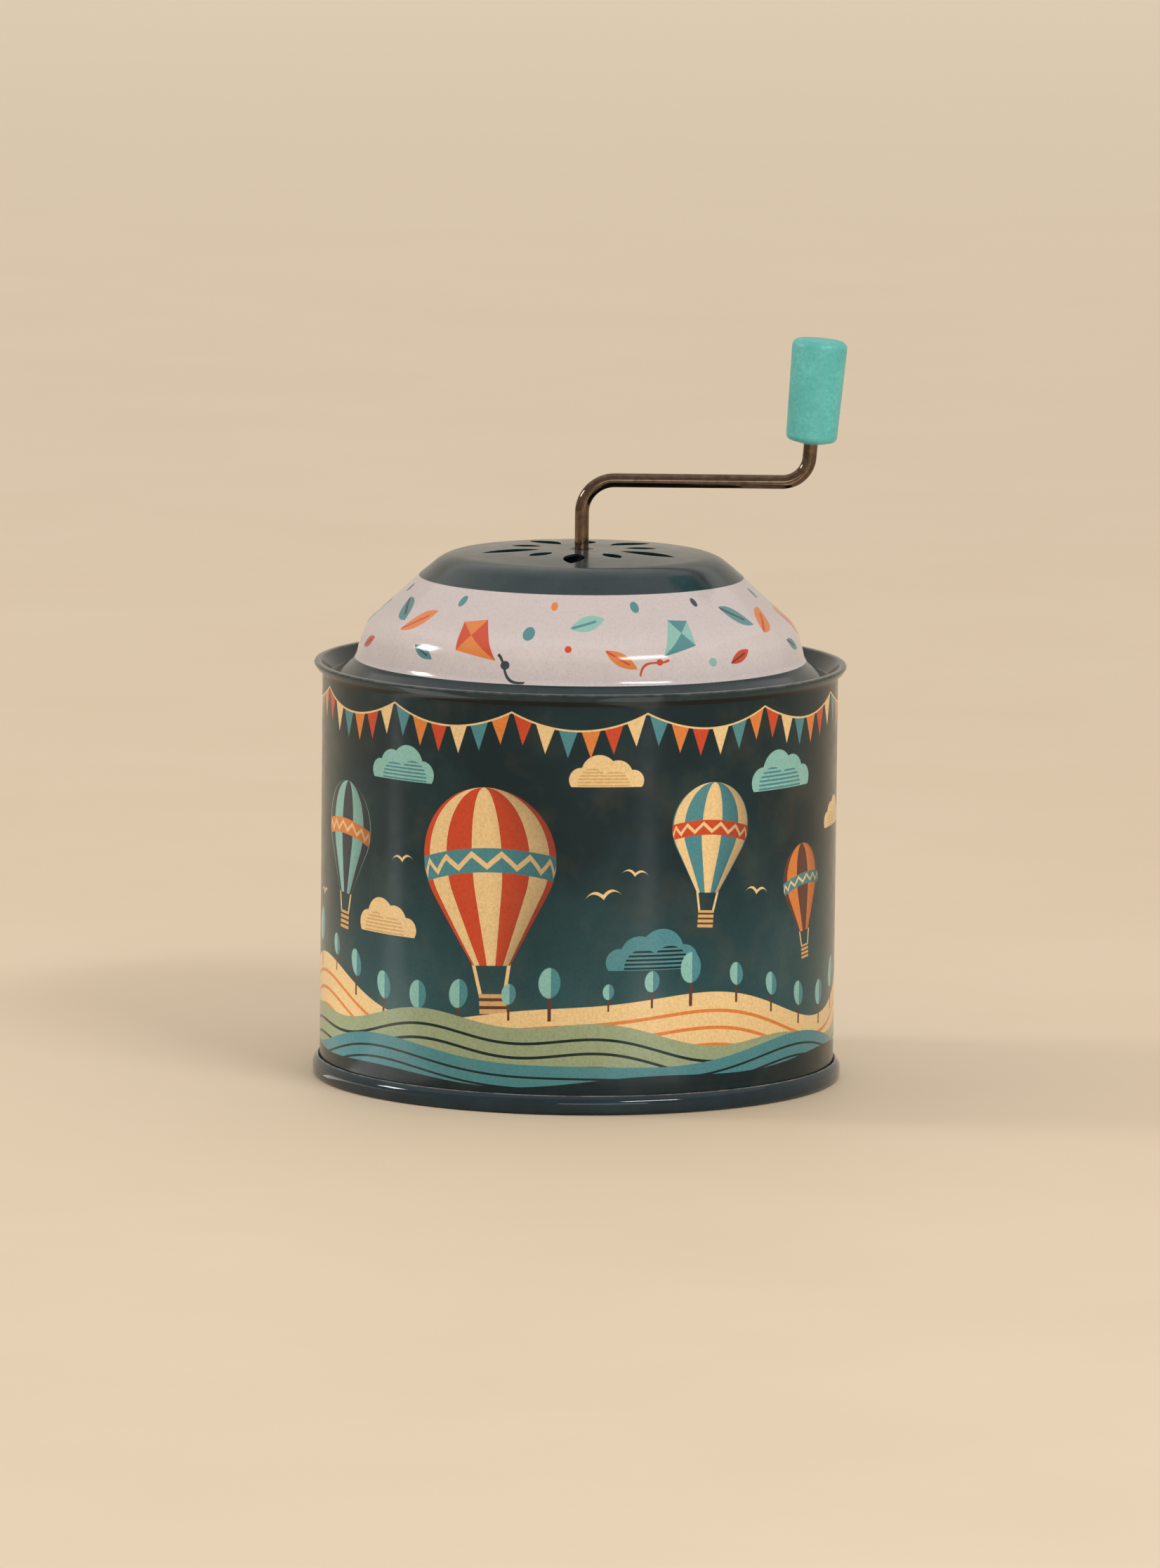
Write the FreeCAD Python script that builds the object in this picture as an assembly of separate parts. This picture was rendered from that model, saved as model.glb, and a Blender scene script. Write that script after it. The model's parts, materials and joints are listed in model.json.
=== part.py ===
import FreeCAD, Part
import math
import os

# Hand-cranked music tin: a seamed tin can with a stepped dome lid, a bent wire crank on top
# and a comb-and-drum movement hung under the lid.
# Millimetres, +Z up. The origin is the middle of the ring that the tin stands on.
# The front is -Y, and at rest the crank arm points to +X.

# Tin sheet and can
sheet = 0.3              # tinplate thickness
fold_gap = 0.06          # play left between folded layers of tinplate
can_dia = 73.0           # printed wall, outside
seam_stand = 1.0         # how far the base ring stands out from the wall
seam_height = 2.8        # height of the base ring
seam_drop = 0.7          # how far the ring's top slopes down to its edge
base_recess = 3.2        # how far the bottom panel sits above the table
seam_bend = 0.35         # inner bend of the base ring, below
seam_round = 0.9         # inner bend of the base ring, above
lip_crest = 59.0         # top of the folded lip
lip_stand = 1.2          # how far the lip stands out from the wall
lip_hem = 1.25           # how far the lip folds back down the flare
lip_bend = 0.32          # outer bend of the lip's fold
flare_angle = 33.0       # slope of the wall's flared end, from upright
flare_bend = 1.6         # bend where the wall starts to flare
side_seam_width = 3.6    # lock seam down the back of the wall
side_seam_depth = 0.5
side_seam_stop = 4.5     # distance of the lock seam's ends from base and lip

# Lid, from the lip inwards: groove, skirt, printed shoulder, raised cap
groove_depth = 2.05      # groove floor below the lip's crest
groove_floor = 0.5       # flat width of the groove floor
skirt_run = 3.05         # dark skirt between groove floor and shoulder
skirt_rise = 2.45
side_draft = 1.25        # how far the shoulder's side leans in
side_height = 4.7
shoulder_run = 7.65      # sloping printed shoulder
shoulder_rise = 7.05
cap_run = 3.7            # steep side of the raised cap
cap_rise = 3.1
crown_run = 10.0         # sloping outer part of the cap's top
crown_rise = 0.75
groove_bend = 0.8
skirt_bend = 3.0
shoulder_bend = 5.5
step_bend = 2.0
cap_bend = 6.0
crown_bend = 100.0

# Sound slots in the cap: long and short petals by turns
slot_pairs = 5
slot_turn = 264.0        # direction of the first long petal
long_slot_near = 6.0     # distance of the petal's ends from the axis
long_slot_length = 8.5
long_slot_width = 3.0
short_slot_near = 6.3
short_slot_length = 4.6
short_slot_width = 2.3

# Crank
wire_dia = 2.0
arm_rise = 9.8           # arm's centre line above the top of the cap
knob_throw = 32.25       # distance of the knob's lower end from the axis
knob_rise = 6.0          # knob's lower end above the arm's centre line
bend_in = 4.6            # centre line bends of the wire
bend_out = 3.8
handle_lean = 4.5        # outward lean of the knob, degrees
run_gap = 0.05           # radial running clearance of every turning fit
end_play = 0.06          # axial play of every turning fit
fixed_gap = 0.01         # radial gap of pressed-on pieces

# Knob
knob_length = 14.3
knob_low_dia = 7.2
knob_top_dia = 7.85
knob_low_round = 0.9
knob_top_round = 1.1
boss_length = 0.55       # how far the coned lower end reaches below the knob's foot
boss_dia = 2.6
stem_depth = 10.8        # how far the wire reaches into the knob
stem_room = 0.5          # empty bore beyond the end of the wire
bead_depth = 7.8         # swaged bead that holds the knob on the wire
bead_dia = 2.6
bead_length = 1.2
bead_play = 0.15         # play around the bead, each way

# Shaft bearings
bush_spigot_dia = 3.4
bush_flange_dia = 6.8
bush_flange = 0.8
washer_dia = 5.0
washer_thick = 0.4
clip_dia = 4.6
clip_thick = 0.5
clip_groove_dia = 1.5
clip_mouth = 1.3         # open side of the clip
shaft_tail = 0.6         # shaft end below the bed plate
pivot_spigot_dia = 4.2
pivot_flange_dia = 6.4
pivot_flange = 0.8

# Worm drive: one right-hand thread, so one crank turn moves the wheel on by one tooth
gear_module = 0.7
wheel_teeth = 18
worm_pitch_dia = 5.0
thread_height = 0.6      # thread above the pitch line
thread_depth = 0.8       # thread below the pitch line
thread_thick = 0.7       # at the pitch line
thread_slope = 14.0      # flank angle
thread_turns = 3
worm_hub_dia = 4.6
worm_hub = 3.0
worm_pin_dia = 0.8
tooth_height = 0.6
tooth_depth = 0.85
tooth_thick = 0.75
wheel_width = 2.4
wheel_room = 1.5         # room between the wheel and the bed plate

# Pinned drum and its arbor, along Y
arbor_dia = 2.0
arbor_pivot_dia = 1.4
pivot_stub = 0.4         # pivot end beyond its cheek
drum_dia = 10.0
drum_wall = 0.9
drum_end = 1.2
drum_length = 11.6
wheel_to_drum = 1.0      # hub of the wheel
nib_dia = 0.5
nib_height = 0.7
nib_sink = 0.15          # nib root inside the drum's wall

# Comb
tine_count = 12
tine_slit = 0.25
tine_length = 6.4
comb_heel = 3.9
comb_thick = 0.9
comb_clear = 0.4         # gap between the tines' tips and the nibs
comb_edge = 0.4          # drum's end beyond the outer tine

# Bed plate, cheeks, posts and screws
bed_drop = 27.45         # top of the bed plate below the underside of the cap
bed_margin = 0.96        # bed plate beyond the far corner of the comb
bed_thick = 1.5
cheek_thick = 1.2
cheek_width = 8.0
cheek_foot = 6.0
cheek_above = 3.6        # cheek above the arbor's centre
cheek_float = 1.0        # room between a cheek and what turns beside it
post_dia = 4.4
post_circle = 16.5       # distance of the posts from the axis
post_turns = (225.0, 345.0, 85.0)
post_thread = 5.0        # screw length inside a post
screw_dia = 1.8
screw_head_dia = 3.4
screw_head = 1.2
screw_slot = 0.5
screw_gap = 0.04

# Worked out from the sizes above
can_r = can_dia / 2
seam_r = can_r + seam_stand
lip_r = can_r + lip_stand
wire_r = wire_dia / 2
up = FreeCAD.Vector(0, 0, 1)
back = FreeCAD.Vector(0, 1, 0)
centre = FreeCAD.Vector(0, 0, 0)


# Sections in the XZ plane: lists of (r, z, corner radius)

def cornered(points):
    edges = []
    count = len(points)
    starts = []
    ends = []
    middles = []
    for i in range(count):
        r, z, radius = points[i]
        corner = FreeCAD.Vector(r, 0, z)
        before = points[i - 1]
        after = points[(i + 1) % count]
        come = FreeCAD.Vector(before[0] - r, 0, before[1] - z)
        leave = FreeCAD.Vector(after[0] - r, 0, after[1] - z)
        room = 0.49 * min(come.Length, leave.Length)
        turn = math.pi - come.getAngle(leave)
        reach = min(radius * math.tan(turn / 2), room)
        come.normalize()
        leave.normalize()
        if reach < 1e-4:
            starts.append(corner)
            middles.append(None)
            ends.append(corner)
            continue
        bisector = (come + leave).normalize()
        true_radius = reach / math.tan(turn / 2)
        sagitta = true_radius / math.cos(turn / 2) - true_radius
        starts.append(corner + come * reach)
        middles.append(corner + bisector * sagitta)
        ends.append(corner + leave * reach)
    for i in range(count):
        if middles[i]:
            edges.append(Part.Arc(starts[i], middles[i], ends[i]).toShape())
        nxt = (i + 1) % count
        if (starts[nxt] - ends[i]).Length > 1e-6:
            edges.append(Part.makeLine(ends[i], starts[nxt]))
    return edges


def turned(points):
    wire = Part.Wire(Part.__sortEdges__(cornered(points)))
    return Part.Face(wire).revolve(centre, up, 360)


def beside(points, distance):
    # The same path moved to its right-hand side, with its bends opened or closed to suit
    moved = []
    last = len(points) - 1
    for i in range(last + 1):
        r, z, radius = points[i]
        first = max(i - 1, 0)
        ahead = min(i, last - 1)
        a = math.atan2(points[first + 1][1] - points[first][1], points[first + 1][0] - points[first][0])
        b = math.atan2(points[ahead + 1][1] - points[ahead][1], points[ahead + 1][0] - points[ahead][0])
        half = math.remainder(b - a, 2 * math.pi) / 2
        middle = a + half
        step = distance / math.cos(half)
        bend = max(radius + math.copysign(distance, half), 0.0) if radius else 0.0
        moved.append((r + step * math.sin(middle), z - step * math.cos(middle), bend))
    return moved


def bent_sheet(points):
    # Tinplate whose left-hand face follows the path, turned about the can's axis
    return turned(points + beside(points, sheet)[::-1])


def ring(outer, inner, low, high):
    return Part.makeCylinder(outer, high - low, FreeCAD.Vector(0, 0, low)).cut(
        Part.makeCylinder(inner, high - low, FreeCAD.Vector(0, 0, low)))


def rod(radius, low, high, x=0.0, y=0.0):
    return Part.makeCylinder(radius, high - low, FreeCAD.Vector(x, y, low))


def rod_y(radius, front, rear, x, z):
    return Part.makeCylinder(radius, rear - front, FreeCAD.Vector(x, front, z), back)


def block(x, y, z):
    corner = FreeCAD.Vector(x[0], y[0], z[0])
    return Part.makeBox(x[1] - x[0], y[1] - y[0], z[1] - z[0], corner)


def save(name, shape):
    shape.exportStep("parts/" + name + ".step")


# Can: wall, base and lid

# The lip is three layers on one slope: the lid's flange, the wall's flare, and the lid folded back
lean = math.radians(flare_angle)
flare_tan = math.tan(lean)
lip_corner_r = lip_r + lip_bend * (math.tan((math.pi / 2 + lean) / 2) - 1)
flange_crest_r = lip_corner_r - (3 * sheet + 2 * fold_gap) / math.cos(lean)
flare_crest_r = flange_crest_r + (2 * sheet + fold_gap) / math.cos(lean)
flare_foot = lip_crest - (flare_crest_r - can_r) / flare_tan
flare_top = lip_crest - sheet - 2 * fold_gap - sheet * math.sin(lean)
flare_out = (flare_top - flare_foot) * flare_tan
hook_z = 2 * sheet + fold_gap


def make_wall():
    path = [
        (can_r + flare_out, flare_top, 0),
        (can_r, flare_foot, flare_bend),
        (can_r, hook_z, 0.1),
        (seam_r - sheet - seam_bend, hook_z, 0),
    ]
    wall = bent_sheet(path)
    inner = can_r - sheet
    seam_low = seam_height + side_seam_stop
    seam_high = flare_foot - side_seam_stop
    strip = ring(inner + sheet / 2, inner - side_seam_depth, seam_low, seam_high)
    half = side_seam_width / 2
    strip = strip.common(block((-half, half), (0, can_dia), (seam_low, seam_high)))
    return wall.fuse(strip)


def make_base():
    chuck_r = can_r - sheet - fold_gap
    return bent_sheet([
        (0, base_recess + sheet, 0),
        (chuck_r, base_recess + sheet, sheet + seam_bend),
        (chuck_r, sheet, seam_bend),
        (seam_r - sheet, sheet, seam_bend),
        (seam_r - sheet, seam_height - sheet - seam_drop, seam_round),
        (can_r + fold_gap, seam_height - sheet, 0),
    ])


# The lid's outer face, from the shaft's hole to the folded end of the lip
groove_z = lip_crest - groove_depth
groove_out_r = flange_crest_r - groove_depth * flare_tan
groove_in_r = groove_out_r - groove_floor
side_foot_r = groove_in_r - skirt_run
side_foot_z = groove_z + skirt_rise
side_top_r = side_foot_r - side_draft
side_top_z = side_foot_z + side_height
step_r = side_top_r - shoulder_run
step_z = side_top_z + shoulder_rise
cap_edge_r = step_r - cap_run
cap_edge_z = step_z + cap_rise
crown_r = cap_edge_r - crown_run
cap_z = cap_edge_z + crown_rise
lid_hole_r = bush_spigot_dia / 2 + fixed_gap
dome_path = [
    (lid_hole_r, cap_z, 0),
    (crown_r, cap_z, crown_bend),
    (cap_edge_r, cap_edge_z, cap_bend),
    (step_r, step_z, step_bend),
    (side_top_r, side_top_z, shoulder_bend),
    (side_foot_r, side_foot_z, skirt_bend),
    (groove_in_r, groove_z, groove_bend),
    (groove_out_r, groove_z, groove_bend),
    (flange_crest_r, lip_crest, lip_bend),
    (lip_corner_r, lip_crest, lip_bend),
    (lip_corner_r - lip_hem * math.sin(lean), lip_crest - lip_hem * math.cos(lean), 0),
]
cap_under = cap_z - sheet


def petal(near, length, width):
    # Two arcs that meet in points, along +X, cut right through the cap
    tip = FreeCAD.Vector(near + length, 0, 0)
    root = FreeCAD.Vector(near, 0, 0)
    side = FreeCAD.Vector(near + length / 2, width / 2, 0)
    other = FreeCAD.Vector(near + length / 2, -width / 2, 0)
    wire = Part.Wire([Part.Arc(root, side, tip).toShape(), Part.Arc(tip, other, root).toShape()])
    tool = Part.Face(wire).extrude(up * (cap_z - side_top_z))
    tool.translate(up * side_top_z)
    return tool


def make_lid():
    lid = bent_sheet(dome_path)
    pitch = 360.0 / slot_pairs
    long_slot = petal(long_slot_near, long_slot_length, long_slot_width)
    short_slot = petal(short_slot_near, short_slot_length, short_slot_width)
    tools = []
    for k in range(slot_pairs):
        for slot, turn in ((long_slot, slot_turn), (short_slot, slot_turn + pitch / 2)):
            tool = slot.copy()
            tool.rotate(centre, up, turn + k * pitch)
            tools.append(tool)
    pressing = lid.cut(tools)
    # One pressing, kept as two plain solids that meet at the step: slotted cap, and the rest
    above = rod(lip_r, step_z, cap_z + sheet)
    return Part.makeCompound([pressing.common(above), pressing.cut(above)])


# Movement: places

bed_top = cap_under - bed_drop
bed_low = bed_top - bed_thick
pivot_top = bed_top + pivot_flange
lead = math.pi * gear_module
worm_low = pivot_top + end_play
wheel_r = gear_module * wheel_teeth / 2
axis_z = bed_top + wheel_room + wheel_r + tooth_height
thread_low = axis_z - thread_turns * lead / 2
thread_high = axis_z + thread_turns * lead / 2
worm_high = thread_high + worm_hub
worm_r = worm_pitch_dia / 2
axis_x = -(worm_r + wheel_r)
drum_front = wheel_width / 2 + wheel_to_drum
drum_rear = drum_front + drum_length
front_face = -wheel_width / 2 - cheek_float
rear_face = drum_rear + cheek_float


def make_bed_hole(x, y, radius):
    return rod(radius, bed_low, bed_top, x, y)


def post_places():
    for turn in post_turns:
        yield (post_circle * math.cos(math.radians(turn)), post_circle * math.sin(math.radians(turn)))


def cheek_screw_places():
    yield (axis_x, front_face - cheek_thick - cheek_foot / 2)
    yield (axis_x, rear_face + cheek_thick + cheek_foot / 2)


comb_tip_x = axis_x - drum_dia / 2 - nib_height - comb_clear
comb_root_x = comb_tip_x - tine_length
comb_back_x = comb_root_x - comb_heel
comb_front = drum_front + comb_edge
comb_rear = drum_rear - comb_edge
comb_low = axis_z - comb_thick / 2
comb_high = axis_z + comb_thick / 2
comb_screw_x = comb_root_x - comb_heel / 2


def comb_screw_places():
    inset = comb_heel / 2
    yield (comb_screw_x, comb_front + inset)
    yield (comb_screw_x, comb_rear - inset)


def make_bed():
    bed = rod(math.hypot(comb_back_x, comb_rear) + bed_margin, bed_low, bed_top)
    bed = bed.cut(rod(pivot_spigot_dia / 2 + fixed_gap, bed_low, bed_top))
    hole_r = screw_dia / 2 + screw_gap
    places = list(post_places()) + list(cheek_screw_places()) + list(comb_screw_places())
    return bed.cut([make_bed_hole(x, y, hole_r) for x, y in places])


def inside_of_lid():
    inner = beside(dome_path[:6], sheet + fold_gap)
    inner[0] = (0, inner[0][1], 0)
    return turned(inner + [(inner[-1][0], bed_top, 0), (0, bed_top, 0)])


def make_post(x, y, space):
    post = rod(post_dia / 2, bed_top, cap_z, x, y).common(space)
    return post.cut(rod(screw_dia / 2 + screw_gap, bed_top, bed_top + post_thread + screw_gap, x, y))


def screw(x, y, seat, length, facing):
    # Cheese-head screw: its head stands on the seat and faces up (1) or down (-1)
    head = rod(screw_head_dia / 2, 0, screw_head)
    slot = screw_slot / 2
    across = (-screw_head_dia, screw_head_dia)
    head = head.cut(block(across, (-slot, slot), (screw_head - screw_slot, screw_head)))
    shape = head.fuse(rod(screw_dia / 2, -length, 0))
    if facing < 0:
        shape.rotate(centre, FreeCAD.Vector(1, 0, 0), 180)
    shape.translate(FreeCAD.Vector(x, y, seat))
    return shape


def make_cheek(face, outward):
    # Upright plate with a rounded head about the pivot, and a foot screwed to the bed
    far = face + outward * cheek_thick
    toe = far + outward * cheek_foot
    thick = (min(face, far), max(face, far))
    foot = (min(face, toe), max(face, toe))
    width = (axis_x - cheek_width / 2, axis_x + cheek_width / 2)
    head_z = axis_z + cheek_above - cheek_width / 2
    plate = block(width, thick, (bed_top, head_z))
    plate = plate.fuse(rod_y(cheek_width / 2, thick[0], thick[1], axis_x, head_z))
    plate = plate.fuse(block(width, foot, (bed_top, bed_top + cheek_thick)))
    pivot_hole = rod_y(arbor_pivot_dia / 2 + run_gap, thick[0], thick[1], axis_x, axis_z)
    screw_y = far + outward * cheek_foot / 2
    foot_hole = rod(screw_dia / 2 + screw_gap, bed_top, bed_top + cheek_thick, axis_x, screw_y)
    return plate.cut([pivot_hole, foot_hole]).removeSplitter()


def make_comb():
    comb = block((comb_back_x, comb_tip_x), (comb_front, comb_rear), (comb_low, comb_high))
    pitch = (comb_rear - comb_front + tine_slit) / tine_count
    cuts = []
    for k in range(1, tine_count):
        y = comb_front + k * pitch - tine_slit
        cuts.append(block((comb_root_x, comb_tip_x), (y, y + tine_slit), (comb_low, comb_high)))
    for x, y in comb_screw_places():
        cuts.append(rod(screw_dia / 2 + screw_gap, comb_low, comb_high, x, y))
    return comb.cut(cuts)


def make_rail():
    rail = block((comb_back_x, comb_root_x), (comb_front, comb_rear), (bed_top, comb_low))
    hole_r = screw_dia / 2 + screw_gap
    return rail.cut([rod(hole_r, bed_top, comb_low, x, y) for x, y in comb_screw_places()])


def make_pivot_bush():
    bore = wire_r + run_gap
    spigot = ring(pivot_spigot_dia / 2, bore, bed_low, bed_top)
    return spigot.fuse(ring(pivot_flange_dia / 2, bore, bed_top, pivot_top))


# Crank: places, then pieces

bush_low = cap_under - bush_flange
washer_high = bush_low - end_play
washer_low = washer_high - washer_thick
clip_low = washer_low - clip_thick
arm_z = cap_z + arm_rise
tilt = math.radians(handle_lean)
knob_foot = FreeCAD.Vector(knob_throw, 0, arm_z + knob_rise)
knob_axis = FreeCAD.Vector(math.sin(tilt), 0, math.cos(tilt))
corner_x = knob_throw - knob_rise * math.tan(tilt)
pin_z = thread_high + worm_hub / 2


def on_knob(shape):
    # From upright at the origin to the leaning handle
    shape.rotate(centre, back, handle_lean)
    shape.translate(knob_foot)
    return shape


def bent_wire(points):
    # Round wire along straight runs and tangent bends in the XZ plane
    start = FreeCAD.Vector(points[0][0], 0, points[0][1])
    closed = cornered(points)
    end = FreeCAD.Vector(points[-1][0], 0, points[-1][1])
    run = [edge for edge in closed if abs(edge.Length - (end - start).Length) > 1e-6]
    path = Part.Wire(Part.__sortEdges__(run))
    section = Part.Wire(Part.makeCircle(wire_r, start, up))
    return path.makePipeShell([section], True, False)


def make_crank():
    tip = knob_foot + knob_axis * stem_depth
    wire = bent_wire([
        (0, bed_low - shaft_tail, 0),
        (0, arm_z, bend_in),
        (corner_x, arm_z, bend_out),
        (tip.x, tip.z, 0),
    ])
    bead_low = bead_depth - bead_length / 2
    bead_high = bead_depth + bead_length / 2
    bead = on_knob(rod(bead_dia / 2, bead_low, bead_high))
    wire = wire.fuse(bead)
    groove = ring(wire_dia, clip_groove_dia / 2, clip_low - fixed_gap, washer_low + fixed_gap)
    pin_hole = rod_y(worm_pin_dia / 2 + fixed_gap, -wire_dia, wire_dia, 0, pin_z)
    return wire.cut([groove, pin_hole])


def make_knob():
    low = knob_low_dia / 2
    top = knob_top_dia / 2
    body = turned([
        (0, -boss_length, 0),
        (boss_dia / 2, -boss_length, 0),
        (low, 0, knob_low_round),
        (top, knob_length, knob_top_round),
        (0, knob_length, 0),
    ])
    bore = rod(wire_r + run_gap, -boss_length, stem_depth + stem_room)
    half_room = bead_length / 2 + bead_play
    room = rod(bead_dia / 2 + bead_play, bead_depth - half_room, bead_depth + half_room)
    return on_knob(body.cut([bore, room]))


def make_shaft_bush():
    bore = wire_r + run_gap
    spigot = ring(bush_spigot_dia / 2, bore, cap_under, cap_z)
    return spigot.fuse(ring(bush_flange_dia / 2, bore, bush_low, cap_under))


def make_washer():
    return ring(washer_dia / 2, wire_r + run_gap, washer_low, washer_high)


def make_clip():
    clip = ring(clip_dia / 2, clip_groove_dia / 2 + fixed_gap, clip_low, washer_low)
    return clip.cut(block((-clip_mouth / 2, clip_mouth / 2), (-clip_dia, 0), (clip_low, washer_low)))


def make_worm():
    core_r = worm_r - thread_depth
    root_r = core_r - 0.5 * (core_r - wire_r)
    tip_r = worm_r + thread_height
    slope = math.tan(math.radians(thread_slope))
    root_half = thread_thick / 2 + (worm_r - root_r) * slope
    tip_half = thread_thick / 2 - thread_height * slope
    outline = [
        FreeCAD.Vector(root_r, 0, -root_half),
        FreeCAD.Vector(tip_r, 0, -tip_half),
        FreeCAD.Vector(tip_r, 0, tip_half),
        FreeCAD.Vector(root_r, 0, root_half),
    ]
    profile = Part.makePolygon(outline + outline[:1])
    helix = Part.makeHelix(lead, (thread_turns + 2) * lead, worm_r)
    thread = Part.Wire(helix.Edges).makePipeShell([profile], True, True)
    # A groove, not a ridge, faces the wheel's middle tooth
    whole_turns = math.ceil(thread_turns / 2) + 1
    thread.translate(up * (axis_z - whole_turns * lead))
    thread = thread.common(rod(worm_pitch_dia, thread_low, thread_high))
    worm = rod(core_r, worm_low, thread_high).fuse(thread)
    worm = worm.fuse(rod(worm_hub_dia / 2, thread_high, worm_high))
    bore = rod(wire_r + fixed_gap, worm_low, worm_high)
    pin_hole = rod_y(worm_pin_dia / 2 + fixed_gap, -worm_hub_dia, worm_hub_dia, 0, pin_z)
    return worm.cut([bore, pin_hole])


def make_worm_pin():
    return rod_y(worm_pin_dia / 2, -worm_hub_dia / 2, worm_hub_dia / 2, 0, pin_z)


# Drum: wheel, drum and arbor, made along Y about (axis_x, axis_z)

def make_wheel():
    root_r = wheel_r - tooth_depth
    tip_r = wheel_r + tooth_height
    slope = math.tan(math.radians(thread_slope))
    skew = -lead / (math.pi * worm_pitch_dia)
    front = -wheel_width / 2
    sunk_r = root_r - tooth_depth / 2
    root_half = tooth_thick / 2 + (wheel_r - sunk_r) * slope
    tip_half = tooth_thick / 2 - tooth_height * slope
    drop = skew * front
    outline = [
        FreeCAD.Vector(sunk_r, front, drop - root_half),
        FreeCAD.Vector(tip_r, front, drop - tip_half),
        FreeCAD.Vector(tip_r, front, drop + tip_half),
        FreeCAD.Vector(sunk_r, front, drop + root_half),
    ]
    face = Part.Face(Part.makePolygon(outline + outline[:1]))
    tooth = face.extrude(FreeCAD.Vector(0, wheel_width, skew * wheel_width))
    teeth = []
    for k in range(wheel_teeth):
        copy = tooth.copy()
        copy.rotate(centre, back, k * 360.0 / wheel_teeth)
        teeth.append(copy)
    wheel = rod_y(root_r, front, -front, 0, 0).multiFuse(teeth)
    wheel = wheel.fuse(rod_y(drum_dia / 4, -front, drum_front, 0, 0))
    wheel = wheel.cut(rod_y(arbor_dia / 2 + fixed_gap, front, drum_front, 0, 0))
    wheel.translate(FreeCAD.Vector(axis_x, 0, axis_z))
    return wheel


def make_drum():
    outer = drum_dia / 2
    drum = rod_y(outer, drum_front, drum_rear, 0, 0)
    hollow = rod_y(outer - drum_wall, drum_front + drum_end, drum_rear - drum_end, 0, 0)
    bore = rod_y(arbor_dia / 2 + fixed_gap, drum_front, drum_rear, 0, 0)
    pitch = (comb_rear - comb_front + tine_slit) / tine_count
    golden_turn = 137.508
    nibs = []
    for k in range(tine_count):
        y = comb_front + (k + 0.5) * pitch - tine_slit / 2
        for beat in range(3):
            root = FreeCAD.Vector(outer - nib_sink, y, 0)
            nib = Part.makeCylinder(nib_dia / 2, nib_height + nib_sink, root, FreeCAD.Vector(1, 0, 0))
            nib.rotate(centre, back, (3 * k + beat) * golden_turn)
            nibs.append(nib)
    drum = drum.cut([hollow, bore]).multiFuse(nibs)
    drum.translate(FreeCAD.Vector(axis_x, 0, axis_z))
    return drum


def make_arbor():
    front = front_face + end_play
    rear = rear_face - end_play
    arbor = rod_y(arbor_dia / 2, front, rear, axis_x, axis_z)
    reach = cheek_thick + pivot_stub
    pivot = rod_y(arbor_pivot_dia / 2, front_face - reach, rear_face + reach, axis_x, axis_z)
    return arbor.fuse(pivot).removeSplitter()


os.makedirs("parts", exist_ok=True)

save("body_wall", make_wall())
save("base_disc", make_base())
save("lid", make_lid())
save("shaft_bush", make_shaft_bush())
save("bed_plate", make_bed())
save("pivot_bush", make_pivot_bush())
space = inside_of_lid()
for number, (x, y) in enumerate(post_places(), 1):
    save("hanger_post_%d" % number, make_post(x, y, space))
post_screws = [screw(x, y, bed_low, bed_thick + post_thread, -1) for x, y in post_places()]
save("post_screws", Part.makeCompound(post_screws))
save("front_cheek", make_cheek(front_face, -1))
save("rear_cheek", make_cheek(rear_face, 1))
cheek_seat = bed_top + cheek_thick
cheek_screws = [screw(x, y, cheek_seat, cheek_thick + bed_thick, 1) for x, y in cheek_screw_places()]
save("cheek_screws", Part.makeCompound(cheek_screws))
save("comb", make_comb())
save("comb_rail", make_rail())
comb_screws = [screw(x, y, comb_high, comb_high - bed_low, 1) for x, y in comb_screw_places()]
save("comb_screws", Part.makeCompound(comb_screws))
save("crank_rod", make_crank())
save("thrust_washer", make_washer())
save("shaft_clip", make_clip())
save("worm", make_worm())
save("worm_pin", make_worm_pin())
save("crank_knob", make_knob())
save("worm_wheel", make_wheel())
save("pin_drum", make_drum())
save("drum_arbor", make_arbor())
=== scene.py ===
import json
import math

import bpy
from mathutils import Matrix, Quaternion, Vector


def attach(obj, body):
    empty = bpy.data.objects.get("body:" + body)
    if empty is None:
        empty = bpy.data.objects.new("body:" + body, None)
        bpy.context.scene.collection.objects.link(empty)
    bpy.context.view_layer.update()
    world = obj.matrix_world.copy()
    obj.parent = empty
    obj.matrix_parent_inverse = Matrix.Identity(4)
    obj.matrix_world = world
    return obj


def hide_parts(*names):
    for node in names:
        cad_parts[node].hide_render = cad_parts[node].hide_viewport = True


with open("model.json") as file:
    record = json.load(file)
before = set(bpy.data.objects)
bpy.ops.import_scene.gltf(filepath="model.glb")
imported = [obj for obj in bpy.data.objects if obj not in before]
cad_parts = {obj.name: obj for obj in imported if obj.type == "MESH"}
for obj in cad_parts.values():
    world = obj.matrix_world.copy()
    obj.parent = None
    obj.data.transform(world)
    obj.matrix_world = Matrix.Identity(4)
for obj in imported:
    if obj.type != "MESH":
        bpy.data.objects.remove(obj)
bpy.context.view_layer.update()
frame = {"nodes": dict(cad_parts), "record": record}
mm = 0.001
nodes = frame["nodes"]
print("frame loaded:", len(nodes), "CAD nodes")


# small helpers for edit mode work

def startPiece():
    if bpy.context.object and bpy.context.object.mode != "OBJECT":
        bpy.ops.object.mode_set(mode="OBJECT")
    bpy.ops.object.select_all(action="DESELECT")


def endPiece(name):
    if bpy.context.object.mode != "OBJECT":
        bpy.ops.object.mode_set(mode="OBJECT")
    piece = bpy.context.object
    piece.name = name
    piece.data.name = name
    bpy.ops.object.transform_apply(location=True, rotation=True, scale=True)
    return piece


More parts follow.
